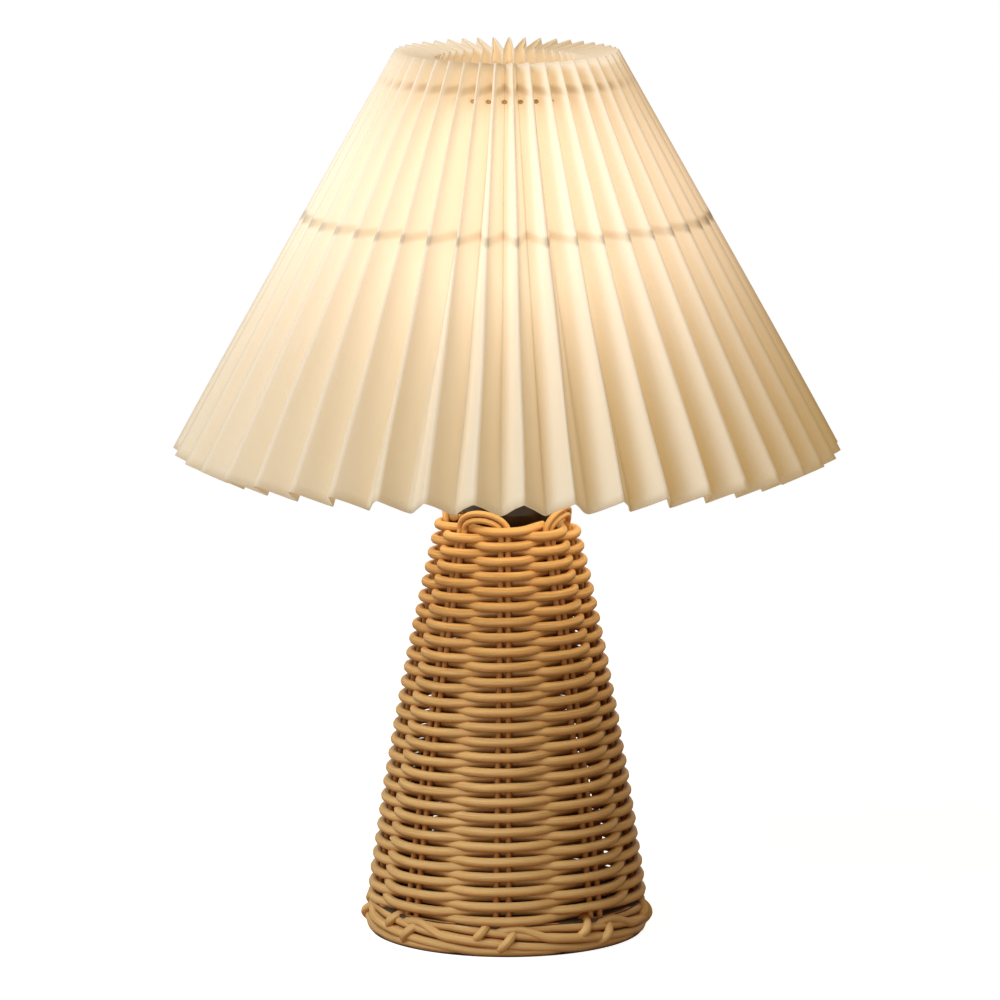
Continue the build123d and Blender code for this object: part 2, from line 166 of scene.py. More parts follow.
class LampFinish(bpy.types.PropertyGroup):
    """Colours of the lamp's finishes."""

    cane_light: colour("Light cane", "Outer bark of the cane", (0.705, 0.458, 0.19))
    cane_deep: colour("Deep cane", "Streaks along the cane", (0.36, 0.175, 0.048))
    # Painted lamplight: the cane is painted warmer near the shade, as if lit by the bulb.
    cane_painted_lamplight: colour("Warm cane", "Cane near the lit shade", (0.88, 0.575, 0.24))
    # Painted shade: brown mixed into the cane in the wall's recesses and on the canes' undersides.
    cane_painted_shade: colour("Stain", "Brown that settles between and under the canes", (0.67, 0.35, 0.115))
    cloth: colour("Cloth", "Cream cloth of the shade", (0.64, 0.645, 0.60))
    # Painted shade colour for the collar's folds, the hoops' shadows and the ticks at the waist hoop.
    cloth_painted_shade: colour("Deep cloth", "Cloth in the collar's folds and over the hoops", (0.62, 0.51, 0.34))
    glow_near: colour("Near glow", "Light through the cloth beside the bulb", (0.60, 0.42, 0.265))
    glow_far: colour("Far glow", "Light through the cloth far from the bulb", (0.235, 0.125, 0.022))
    pad: colour("Pad", "Dark pad under the foot", (0.018, 0.014, 0.011))
    # Wood of the board and disc, painted much darker than the wood as painted shade, since it shows only in
    # the gaps under the wall.
    board: colour("Board", "Wood of the board and disc", (0.062, 0.034, 0.015))
    holder: colour("Holder", "Dark moulded lampholder", (0.030, 0.017, 0.008))
    core: colour("Core", "Fired core of the lampholder", (0.74, 0.72, 0.67))
    ballast: colour("Ballast", "Cast weight in the foot", (0.05, 0.05, 0.052))
    steel: colour("Steel", "Zinc plated steel", (0.55, 0.54, 0.52))
    brass: colour("Brass", "Brass contacts", (0.68, 0.47, 0.19))
    hoop: colour("Hoop", "Lacquered wire of the hoops", (0.50, 0.37, 0.21))
    tie: colour("Tie", "Thread of the ties", (0.55, 0.40, 0.21))
    cap: colour("Cap", "Metal of the bulb's screw cap", (0.62, 0.61, 0.58))
    insulator: colour("Insulator", "Dark insulator under the cap", (0.02, 0.02, 0.02))
    housing: colour("Housing", "Moulded housing of the bulb", (0.84, 0.82, 0.77))
    opal: colour("Opal", "Milky dome of the bulb", (0.66, 0.61, 0.52))
    opal_glow: colour("Opal glow", "Light through the crown of the dome", (0.62, 0.47, 0.25))


class LampStage(bpy.types.PropertyGroup):
    """Camera and light of the stage."""

    camera_back: length("Camera back", "Camera's distance in front of the axis", 3242.3)
    camera_height: length("Camera height", "Camera's height above the table", 769.8)
    camera_aside: length("Camera aside", "Camera's place beside the axis", -3.1)
    camera_tilt: angle("Camera tilt", "How far the camera looks down", 10.03)
    lens: number("Lens", "Focal length in millimetres on a 36 mm sensor", 263.3)
    aim: place("Aim", "Point that the soft lights look at", (0.0, 0.0, 0.22))
    key: number("Key light", "Power of the soft light on the left, in watts", 29.8)
    key_tint: colour("Key tint", "Colour of the soft light on the left", (0.905, 0.97, 1.0))
    key_place: place("Key place", "Place of the soft light on the left", (-1.28, -1.05, 1.72))
    key_width: length("Key width", "Width of the soft light on the left", 1200)
    fill: number("Fill light", "Power of the soft light in front, in watts", 10.2)
    fill_place: place("Fill place", "Place of the soft light in front", (-0.75, -2.1, 0.6))
    fill_width: length("Fill width", "Width of the soft light in front", 1600)
    spill: number("Spill light", "Power of the bulb's light that falls on the foot, in watts", 0.14)
    spill_tint: colour("Spill tint", "Colour of the bulb's light that falls on the foot", (1.0, 0.76, 0.48))
    spill_width: length("Spill width", "Width of the light that falls out of the shade", 220)
    spill_above: length("Spill above", "Height of that light above the shade's lower edge", 10)
    sky: number("Sky light", "Strength of the even light from all round", 0.20)
    sky_tint: colour("Sky tint", "Colour of the even light from all round", (1.0, 0.69, 0.27))
    floor: colour("Floor", "Pale floor", (0.60, 0.60, 0.59))
    floor_reach: length("Floor reach", "Radius of the floor", 900)
    floor_below: length("Floor below", "How far the floor lies under the pad", 0.3)
    floor_lift: number("Floor lift", "White that the camera sees on the floor", 0.90)


def math_node(kind):
    """A method that puts a Math node of a kind on a field and on what follows it."""
    return lambda field, *others: field.math(kind, field, *others)


class Field:
    """A number in a node tree, so that the rule of a shape or pattern reads as arithmetic."""

    def __init__(self, socket):
        self.socket = socket
        self.tree = socket.id_data

    def math(self, operation, *values):
        """The number that a Math node makes of some values."""
        return Field(result(self.tree, "ShaderNodeMath", dict(enumerate(values)), operation=operation))

    def __neg__(self):
        return self * -1

    def __rsub__(self, whole):
        return -self + whole

    def __rtruediv__(self, whole):
        return self.math("DIVIDE", whole, self)

    __add__ = math_node("ADD")
    __sub__ = math_node("SUBTRACT")
    __mul__ = math_node("MULTIPLY")
    __truediv__ = math_node("DIVIDE")
    __pow__ = math_node("POWER")
    __abs__ = math_node("ABSOLUTE")
    sin = math_node("SINE")
    cos = math_node("COSINE")
    asin = math_node("ARCSINE")
    root = math_node("SQRT")
    at_least = math_node("MAXIMUM")
    at_most = math_node("MINIMUM")


def plug(value, slot):
    """Joins a field or socket to a slot, or sets the slot's plain value."""
    if isinstance(value, Field):
        value = value.socket
    if isinstance(value, bpy.types.NodeSocket):
        slot.id_data.links.new(value, slot)
    else:
        slot.default_value = value


def open_socket(sockets, name):
    """The socket of that name or number that the node's settings leave in use."""
    if isinstance(name, int):
        return sockets[name]
    return next(socket for socket in sockets if socket.name == name and socket.enabled)


def fill(node, inputs):
    """Joins or sets a node's inputs, which are named or numbered."""
    for name, value in inputs.items():
        plug(value, open_socket(node.inputs, name))


def add_node(tree, kind, inputs=None, **settings):
    """A node with its settings and inputs."""
    node = tree.nodes.new(kind)
    for name, value in settings.items():
        setattr(node, name, value)
    fill(node, inputs or {})
    return node


def result(tree, kind, inputs=None, **settings):
    """The first output of a new node."""
    return add_node(tree, kind, inputs, **settings).outputs[0]


def vector_of(tree, x, y, z):
    """A vector from three numbers or fields."""
    return result(tree, "ShaderNodeCombineXYZ", {0: x, 1: y, 2: z})


def parts_of(vector):
    """The three numbers of a vector."""
    node = add_node(vector.id_data, "ShaderNodeSeparateXYZ", {0: vector})
    return [Field(socket) for socket in node.outputs]


def scaled(vector, factor):
    """A vector or colour made longer or brighter by a factor."""
    return result(factor.tree, "ShaderNodeVectorMath", {0: vector, "Scale": factor}, operation="SCALE")


def noise(spot, scale, detail, seed=None, roughness=0.5):
    """A cloudy pattern: its value, and its colour for offsets."""
    inputs = {"Vector": spot, "Scale": scale, "Detail": detail, "Roughness": roughness}
    if seed is not None:
        inputs["W"] = seed
    dimensions = "3D" if seed is None else "4D"
    node = add_node(spot.id_data, "ShaderNodeTexNoise", inputs, noise_dimensions=dimensions)
    return Field(node.outputs[0]), node.outputs[1]


def fields(sockets):
    """Sockets as fields, by their names."""
    return {socket.name: Field(socket) for socket in sockets}


def shape_tree(name, **inputs):
    """A new geometry node tree, its inputs as fields and its end, with the inputs' names given by kind."""
    tree = bpy.data.node_groups.new(name, "GeometryNodeTree")
    for kind, labels in {"Geometry": ["Geometry"], **inputs}.items():
        for label in labels:
            tree.interface.new_socket(label, in_out="INPUT", socket_type="NodeSocket" + kind)
    tree.interface.new_socket("Geometry", in_out="OUTPUT", socket_type="NodeSocketGeometry")
    start = tree.nodes.new("NodeGroupInput")
    end = tree.nodes.new("NodeGroupOutput")
    return tree, fields(start.outputs), end


def stored(geometry, label, value, domain="POINT", kind="FLOAT"):
    """Geometry with a named value kept on it."""
    inputs = {"Geometry": geometry, "Name": label, "Value": value}
    return result(geometry.id_data, "GeometryNodeStoreNamedAttribute", inputs, data_type=kind, domain=domain)


def finished(geometry, material, end):
    """Ends a tree in plain geometry with its material."""
    tree = end.id_data
    real = result(tree, "GeometryNodeRealizeInstances", {"Geometry": geometry})
    smooth = result(tree, "GeometryNodeSetShadeSmooth", {"Geometry": real})
    painted = result(tree, "GeometryNodeSetMaterial", {"Geometry": smooth, "Material": material})
    fill(end, {0: painted})


def cane_tree():
    """Sweeps a round cane along each path and repeats the whole round the lamp's axis."""
    sides = 10
    bend_scale, bend_seed = 55.0, 7.31
    swell_scale, swell_seed, swell_start = 90.0, 3.17, 40.0
    tree, given, end = shape_tree(
        "Cane on paths",
        Float=["Thickness", "Unevenness", "Waver", "Step"], Int=["Copies", "Seed"], Material=["Material"],
    )
    spot = result(tree, "GeometryNodeInputPosition")
    drift = noise(spot, bend_scale, 1.0, given["Seed"] * bend_seed)[1]
    centred = result(tree, "ShaderNodeVectorMath", {0: drift, 1: (0.5, 0.5, 0.5)}, operation="SUBTRACT")
    offset = scaled(centred, given["Waver"])
    moved = result(tree, "GeometryNodeSetPosition", {"Geometry": given["Geometry"], "Offset": offset})
    swell = noise(spot, swell_scale, 2.0, given["Seed"] * swell_seed + swell_start)[0]
    thickness = (swell - 0.5) * given["Unevenness"] + 1.0
    sized = result(tree, "GeometryNodeSetCurveRadius", {"Curve": moved, "Radius": thickness})
    along = add_node(tree, "GeometryNodeSplineParameter").outputs["Length"]
    marked = stored(sized, "cane_along", along)
    size = {"Resolution": sides, "Radius": given["Thickness"] * 0.5}
    profile = result(tree, "GeometryNodeCurvePrimitiveCircle", size)
    girth = add_node(tree, "GeometryNodeSplineParameter").outputs["Factor"]
    ringed = stored(profile, "cane_around", girth)
    curves = {"Curve": marked, "Profile Curve": ringed, "Fill Caps": True}
    swept = result(tree, "GeometryNodeCurveToMesh", curves)
    # How far each face looks down, kept for the painted shade under the canes.
    down = -parts_of(result(tree, "GeometryNodeInputNormal"))[2]
    shaded = stored(swept, "cane_under", down)
    spots = result(tree, "GeometryNodePoints", {"Count": given["Copies"]})
    index = Field(result(tree, "GeometryNodeInputIndex"))
    turn = vector_of(tree, 0.0, 0.0, index * given["Step"])
    ring = {"Points": spots, "Instance": shaded, "Rotation": turn}
    copies = result(tree, "GeometryNodeInstanceOnPoints", ring)
    draw = {"Min": 0.0, "Max": 1.0, "Seed": given["Seed"]}
    tone = open_socket(add_node(tree, "FunctionNodeRandomValue", draw, data_type="FLOAT").outputs, "Value")
    finished(stored(copies, "cane_tone", tone, domain="INSTANCE"), given["Material"], end)
    return tree


def tie_tree():
    """A ring of short ties at even steps, each drawn out across the gap between two folds."""
    wide, tall = 2.0, 1.6
    tree, given, end = shape_tree(
        "Ring of ties", Float=["Radius", "Height", "Turn", "Size"], Int=["Count"], Material=["Material"]
    )
    spots = result(tree, "GeometryNodePoints", {"Count": given["Count"]})
    index = Field(result(tree, "GeometryNodeInputIndex"))
    turn = index / given["Count"] * math.tau + given["Turn"]
    radius = given["Radius"]
    spot = vector_of(tree, radius * turn.sin(), -radius * turn.cos(), given["Height"])
    ringed = result(tree, "GeometryNodeSetPosition", {"Geometry": spots, "Position": spot})
    bead = result(tree, "GeometryNodeMeshUVSphere", {"Segments": 8, "Rings": 6, "Radius": given["Size"]})
    copies = result(tree, "GeometryNodeInstanceOnPoints", {
        "Points": ringed, "Instance": bead,
        "Rotation": vector_of(tree, 0.0, 0.0, turn), "Scale": vector_of(tree, wide, 1.0, tall),
    })
    finished(copies, given["Material"], end)
    return tree


def pleat_tree():
    """Folds a flat strip of cloth to and fro round a cone and joins its two ends."""
    sway_ring, sway_rise, sway_scale = 6, 0.7, 2.2
    neck_softness, collar_level, seam = 0.2, 0.7, 0.05 * MM
    tree, given, end = shape_tree(
        "Pleated cone",
        Float=["Pleats", "Neck Radius", "Mouth Radius", "Top", "Drop", "Lean", "Neck Depth", "Mouth Depth",
               "Crispness", "First Ridge", "Strip Length", "Strip Width", "Slack", "Hang"],
        Int=["Columns", "Rows"], Material=["Material"],
    )
    size = {"Size X": 1.0, "Size Y": 1.0, "Vertices X": given["Columns"], "Vertices Y": given["Rows"]}
    grid = result(tree, "GeometryNodeMeshGrid", size)
    east, north, _ = parts_of(result(tree, "GeometryNodeInputPosition"))
    along = east + 0.5
    rise = north + 0.5
    whole = along * math.tau
    spot = vector_of(tree, whole.sin() * sway_ring, whole.cos() * sway_ring, rise * sway_rise)
    sway = (noise(spot, sway_scale, 1.0)[0] - 0.5) * given["Slack"]
    # The wave runs from 1 on an outer fold to -1 on an inner one, and is softer towards the neck.
    crisp = given["Crispness"] - rise ** 4 * neck_softness
    wave = ((along * given["Pleats"] * math.tau).cos() * crisp).asin() / crisp.asin()
    depth = given["Mouth Depth"] + (given["Neck Depth"] - given["Mouth Depth"]) * rise
    inward = depth * (1.0 - wave) * 0.5
    ridge = given["Mouth Radius"] + (given["Neck Radius"] - given["Mouth Radius"]) * rise
    radius = ridge - inward * given["Lean"].cos()
    # The folds go in square to the cone, apart from the collar, which is cut more level.
    level = rise ** 6 * collar_level
    height = given["Top"] - given["Drop"] * (1.0 - rise)
    height = height - inward * given["Lean"].sin() * (1.0 - level)
    height = height - (1.0 - rise) ** 6 * (wave + 1.0) * 0.5 * given["Hang"]
    turn = whole + given["First Ridge"] + sway
    folded = vector_of(tree, radius * turn.sin(), -radius * turn.cos(), height)
    flat = vector_of(tree, along * given["Strip Length"], rise * given["Strip Width"], wave)
    cloth = stored(grid, "cloth_place", flat, kind="FLOAT_VECTOR")
    shaped = result(tree, "GeometryNodeSetPosition", {"Geometry": cloth, "Position": folded})
    joined = result(tree, "GeometryNodeMergeByDistance", {"Geometry": shaped, "Distance": seam})
    finished(joined, given["Material"], end)
    return tree


def grown(name, tree, values, base=None):
    """The plain mesh that a geometry node tree makes from its named values."""
    if base is None:
        base = bpy.data.objects.new(name + "_seed", bpy.data.meshes.new(name + "_seed"))
    bpy.context.scene.collection.objects.link(base)
    grower = base.modifiers.new("Shape", "NODES")
    grower.node_group = tree
    identifiers = {
        item.name: item.identifier for item in tree.interface.items_tree if item.in_out == "INPUT"
    }
    for label, value in values.items():
        grower[identifiers[label]] = value
    settled = base.evaluated_get(bpy.context.evaluated_depsgraph_get())
    mesh = bpy.data.meshes.new_from_object(settled)
    mesh.name = name
    base.modifiers.remove(grower)
    bpy.data.objects.remove(base)
    return mesh


def path_curve(name, paths):
    """A curve object with one open spline for each list of points."""
    curve = bpy.data.curves.new(name, "CURVE")
    curve.dimensions = "3D"
    for points in paths:
        spline = curve.splines.new("POLY")
        spline.points.add(len(points) - 1)
        for knot, point in zip(spline.points, points):
            knot.co = (*point, 1.0)
    return bpy.data.objects.new(name + "_path", curve)


def piece(name, mesh, body, nodes=()):
    """A finished object that rides on a body and stands for some CAD nodes."""
    made = bpy.data.objects.new(name, mesh)
    bpy.context.scene.collection.objects.link(made)
    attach(made, body)
    if nodes:
        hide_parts(*nodes)
    return made


def around(turn, radius, height):
    """A point at an angle from the front, towards the right, round the lamp's axis."""
    return Vector((radius * math.sin(turn), -radius * math.cos(turn), height))


def lathe(name, outline, material, segments=72, relief=None):
    """A mesh turned about the lamp's axis from pairs of radius and height, with a relief on its radius."""
    points = []
    faces = []
    rings = []
    for radius, height in outline:
        first = len(points)
        if radius < 1e-7:
            points.append((0.0, 0.0, height))
            rings.append([first] * segments)
            continue
        rings.append(range(first, first + segments))
        for step in range(segments):
            turn = math.tau * step / segments
            swell = relief(turn, height) if relief else 0.0
            points.append(tuple(around(turn, radius + swell, height)))
    for low, high in zip(rings, rings[1:]):
        for step in range(segments):
            after = (step + 1) % segments
            corners = (low[step], low[after], high[after], high[step])
            faces.append(tuple(dict.fromkeys(corners)))
    mesh = bpy.data.meshes.new(name)
    mesh.from_pydata(points, [], faces)
    mesh.shade_smooth()
    mesh.materials.append(material)
    mesh.update()
    return mesh


def rounded(outline, reach, steps):
    """An outline with each inner corner rounded over a share of its shorter side."""
    softened = [outline[0]]
    for before, corner, after in zip(outline, outline[1:], outline[2:]):
        before, corner, after = Vector(before), Vector(corner), Vector(after)
        size = reach * min((before - corner).length, (after - corner).length)
        start = corner + (before - corner).normalized() * size
        finish = corner + (after - corner).normalized() * size
        for step in range(steps + 1):
            done = step / steps
            softened.append(tuple(start.lerp(corner, done).lerp(corner.lerp(finish, done), done)))
    softened.append(outline[-1])
    return softened


def wall_rise(foot, height):
    """Height on the woven wall, from 0 at the board to 1 at the rim."""
    return (height - BOARD_TOP) / (foot.rim_height - BOARD_TOP)


def wall_radius(foot, height):
    """Distance of the stakes from the lamp's axis at a height, the same all the way above the rim."""
    rise = min(1.0, wall_rise(foot, height))
    straight = foot.foot_radius + (foot.rim_radius - foot.foot_radius) * rise
    return straight + 4 * foot.bulge * rise * (1 - rise)


def pair_half_angle(foot, height):
    """Half of the angle between the canes of a stake pair at a height."""
    gap = foot.pair_gap_foot + (foot.pair_gap_rim - foot.pair_gap_foot) * wall_rise(foot, height)
    return math.asin(gap / 2 / wall_radius(foot, height))


def weaver_path(foot, first_in_front):
    """The line of one weaver, outside one stake pair and inside the next, with both ends inside."""
    steps_a_pass, press, flatness = 12, 0.95, 0.25
    # Both start with some packed passes below their lowest row. The first one lies outside the first pair.
    sign, lift, first, packed = 1, 0.0, -5, 0.45
    if not first_in_front:
        sign, lift, first, packed = -1, foot.weaver_pitch / 2, -6, 0.72
    reach = (foot.stake_cane + foot.weaver_cane) / 2 * press
    passes = int((foot.weaver_end - foot.weaver_start - lift) / foot.weaver_pitch * foot.stake_pairs)
    last = passes + (passes % 2 == 0) if first_in_front else passes + passes % 2
    points = []
    for step in range(first * steps_a_pass, last * steps_a_pass + 1):
        turn = math.tau * step / steps_a_pass / foot.stake_pairs
        swing = math.cos(turn * foot.stake_pairs / 2)
        flat = swing * (1 + flatness - flatness * swing * swing)
        climb = turn / math.tau * (packed if turn < 0 else 1.0)
        height = foot.weaver_start + lift + foot.weaver_pitch * climb
        radius = wall_radius(foot, height) + sign * reach * flat
        points.append(around(foot.first_pair + turn, radius, height))
    return points


def hairpin_path(foot, outer):
    """One cane of a hairpin: up beside one stake place, over the rim and down beside the next."""
    leg_steps, arch_steps = 40, 18
    side = -1 if outer else 1
    rise = foot.loop_rise if outer else foot.loop_rise - foot.pair_gap_rim
    step_turn = math.tau / foot.stake_pairs
    start = foot.first_pair + step_turn
    heights = [BOARD_TOP + (foot.rim_height - BOARD_TOP) * step / leg_steps for step in range(leg_steps + 1)]
    legs = [(start + side * pair_half_angle(foot, height), height) for height in heights]
    centre = start + step_turn / 2
    half = centre - legs[-1][0]
    points = [around(turn, wall_radius(foot, height), height) for turn, height in legs]
    for step in range(1, arch_steps):
        bend = math.pi * step / arch_steps
        radius = foot.rim_radius + foot.loop_bow * math.sin(bend)
        height = foot.rim_height + rise * math.sin(bend)
        points.append(around(centre - half * math.cos(bend), radius, height))
    for turn, height in reversed(legs):
        points.append(around(2 * centre - turn, wall_radius(foot, height), height))
    return points


def border_place(foot, turn, height, proud):
    """A point on the border's rounded side, at a turn from a stake pair."""
    roundness = 50
    radius = foot.border_radius - roundness * (height - foot.border_belly) ** 2
    return around(foot.first_pair + turn, radius + proud, height)


def border_cane_path(foot, start, run, top, arch, level, stand):
    """A border cane: out from under the wall, over an arch, slowly down and in under the next canes."""
    arch_middle, arch_half, tuck, tail = (math.radians(turn) for turn in (13, 14, 10, 18))
    tuck_depth, tail_depth, steps = 4.2 * MM, 3.6 * MM, 64
    step_turn = math.tau / foot.stake_pairs
    points = []
    for step in range(steps + 1):
        turn = (run + tail) * step / steps
        hidden = max(0.0, 1 - turn / tuck)
        sink = max(0.0, (turn - run) / tail)
        near = max(0.0, 1 - abs(turn - arch_middle) / arch_half)
        height = top + arch * near * near * (3 - 2 * near)
        height = max(height - foot.border_drop * max(0.0, turn - level) / step_turn, foot.border_low)
        proud = stand - tuck_depth * hidden * hidden - tail_depth * sink * sink
        points.append(border_place(foot, start + turn, height, proud))
    return points


def border_end_path(foot, start, finish, top, low):
    """A short end of a stake, turned down over the border canes."""
    bow, bow_turn, inset, steps = 4.6 * MM, 0.9 * math.pi, 2.7 * MM, 14
    points = []
    for step in range(steps + 1):
        done = step / steps
        proud = bow * math.sin(bow_turn * done) - inset
        points.append(border_place(foot, start + (finish - start) * done, top + (low - top) * done, proud))
    return points


def border_paths(foot):
    """The canes at one stake pair: two laid to the right, and two short ends turned down over them."""
    first, first_run, second, second_run = (math.radians(turn) for turn in (-6, 112, -8, 88))
    upper, upper_end, lower, lower_end = (math.radians(turn) for turn in (-5.0, -11.5, 6.0, -1.6))
    level, behind = foot.border_level, -foot.border_behind
    return [
        border_cane_path(foot, first, first_run, foot.border_top, foot.border_arch, 0.0, 0.0),
        border_cane_path(foot, second, second_run, foot.border_second, 0.0, level, behind),
        border_end_path(foot, upper, upper_end, 15.0 * MM, 7.0 * MM),
        border_end_path(foot, lower, lower_end, 12.0 * MM, 2.2 * MM),
    ]


def principled(name):
    """A new material's node tree with its main shader."""
    material = bpy.data.materials.new(name)
    material.use_nodes = True
    return material, material.node_tree, material.node_tree.nodes["Principled BSDF"]


def shader_group(name, inputs, outputs):
    """A new shader node group with named numbers in and named numbers out."""
    tree = bpy.data.node_groups.new(name, "ShaderNodeTree")
    for label, default in inputs.items():
        socket = tree.interface.new_socket(label, in_out="INPUT", socket_type="NodeSocketFloat")
        socket.default_value = default
    for label in outputs:
        tree.interface.new_socket(label, in_out="OUTPUT", socket_type="NodeSocketFloat")
    start = tree.nodes.new("NodeGroupInput")
    end = tree.nodes.new("NodeGroupOutput")
    return tree, fields(start.outputs), end


def use_group(tree, group, values):
    """The results of a shader node group placed in a material with its own values."""
    return fields(add_node(tree, "ShaderNodeGroup", values, node_tree=group).outputs)


def mixed(factor, first, second, blend="MIX"):
    """A colour between two colours."""
    node = add_node(factor.tree, "ShaderNodeMix", data_type="RGBA", blend_type=blend)
    plug(factor, node.inputs[0])
    for slot, value in ((6, first), (7, second)):
        if not isinstance(value, (Field, bpy.types.NodeSocket)):
            value = (*value, 1.0)
        plug(value, node.inputs[slot])
    return node.outputs[2]


def spread(value, low, high, low_to=0.0, high_to=1.0, kind="SMOOTHSTEP"):
    """A number moved from one range to another and kept inside it."""
    ends = {"Value": value, "From Min": low, "From Max": high, "To Min": low_to, "To Max": high_to}
    return Field(result(value.tree, "ShaderNodeMapRange", ends, interpolation_type=kind))


def bumped(shader, height, distance, strength):
    """Lets a height pattern tilt the light on a shader."""
    bump = {"Height": height, "Distance": distance, "Strength": strength}
    fill(shader, {"Normal": result(shader.id_data, "ShaderNodeBump", bump)})


def shade_of(base, factor):
    """A colour made paler or darker by a factor."""
    return [min(1.0, part * factor) for part in base]


def object_place(tree):
    """The place of a point on its own piece."""
    return add_node(tree, "ShaderNodeTexCoord").outputs["Object"]


def kept(tree, label):
    """A number that the shape's nodes have kept on the surface."""
    return Field(add_node(tree, "ShaderNodeAttribute", attribute_name=label).outputs["Fac"])


def fibre_group():
    """Long streaks and slow patches along a cane, from its own length and girth."""
    tree, given, end = shader_group(
        "Cane fibre",
        {"Streak Length": 30 * MM, "Streak Count": 9.0, "Patch Length": 60 * MM},
        ["Streak", "Patch", "Height"],
    )
    along, girth, tone = (kept(tree, "cane_" + label) for label in ("along", "around", "tone"))
    streak_width, streak_shift, patch_shift, patch_row = 0.16, 37, 91, 13
    turn = girth * math.tau
    ring = [part * given["Streak Count"] * streak_width for part in (turn.sin(), turn.cos())]
    lines = vector_of(tree, along / given["Streak Length"] + tone * streak_shift, *ring)
    fine = noise(lines, 1.6, 4.0, roughness=0.62)[0]
    spots = vector_of(tree, along / given["Patch Length"] + tone * patch_shift, tone * patch_row, 0.0)
    patch = spread(noise(spots, 1.0, 2.0)[0], 0.3, 0.7)
    fill(end, {"Streak": spread(fine, 0.36, 0.68), "Patch": patch, "Height": fine})
    return tree


def recess_group(foot):
    """How far a place stands out of the woven wall, from 0 deep inside to 1 on its outer face."""
    rim_fade = 7 * MM
    tree, given, end = shader_group("Wall depth", {"Inside": -4.4 * MM, "Outside": -0.4 * MM}, ["Depth"])
    east, north, up = parts_of(object_place(tree))
    rise = wall_rise(foot, up).at_least(-0.2).at_most(1.0)
    wall = rise * (foot.rim_radius - foot.foot_radius) + foot.foot_radius
    wall = wall + rise * (1.0 - rise) * 4 * foot.bulge
    radius = (east * east + north * north).root()
    depth = spread(radius - wall, given["Inside"], given["Outside"])
    above = spread(up, foot.rim_height - rim_fade, foot.rim_height)
    fill(end, {"Depth": depth.at_least(above)})
    return tree


def grain_group():
    """Fine specks for moulded, cast and plated surfaces, from the piece's own place. It is built once."""
    name = "Fine grain"
    if name in bpy.data.node_groups:
        return bpy.data.node_groups[name]
    tree, given, end = shader_group(name, {"Size": 0.6 * MM, "Blotch": 12 * MM}, ["Speck", "Blotch"])
    spot = object_place(tree)
    speck = noise(spot, 1.0 / given["Size"], 2.0)[0]
    blotch = noise(spot, 1.0 / given["Blotch"], 4.0)[0]
    fill(end, {"Speck": speck, "Blotch": blotch})
    return tree


def cane_material(name, fibre, recess, finish, lamplight_share, streaks, inside, outside):
    """Peeled cane: streaked, patchy and satin, with painted shade in the recesses and underneath, and
    painted lamplight near the shade.
    """
    paleness, patches, shade_in_recess, less_in_painted_lamplight, below = 1.12, 0.35, 0.95, 0.45, 0.78
    material, tree, shader = principled(name)
    sizes = {"Streak Length": 28 * MM, "Streak Count": 10.0, "Patch Length": 50 * MM}
    pattern = use_group(tree, fibre, sizes)
    height = parts_of(object_place(tree))[2]
    # Painted lamplight: the cane's colour grows warmer towards the shade, where the bulb's light would fall.
    lift = spread(height, 100 * MM, 190 * MM, 0.0, lamplight_share)
    ground = mixed(lift, finish.cane_light, finish.cane_painted_lamplight)
    streaked = mixed(pattern["Streak"] * streaks, ground, finish.cane_deep)
    patched = mixed(pattern["Patch"] * patches, streaked, shade_of(finish.cane_light, paleness))
    # Painted shade in the wall's recesses and on the downward faces of the canes, weaker under the painted
    # lamplight.
    depth = use_group(tree, recess, {"Inside": inside, "Outside": outside})["Depth"]
    painted_shade = (1.0 - depth) * (shade_in_recess - lift * less_in_painted_lamplight)
    painted_shade = painted_shade.at_least(spread(kept(tree, "cane_under"), -0.25, 0.75, 0.0, below))
    shaded_colour = mixed(painted_shade, patched, finish.cane_painted_shade, "MULTIPLY")
    rough = spread(pattern["Height"], 0.3, 0.7, 0.42, 0.62)
    fill(shader, {"Base Color": shaded_colour, "Roughness": rough, "Specular IOR Level": 0.35})
    bumped(shader, pattern["Height"], 0.35 * MM, 0.5)
    return material


def cone_lean(shade):
    """How far the shade's side leans from upright."""
    return math.atan2(shade.mouth_radius - shade.neck_radius, shade.drop)


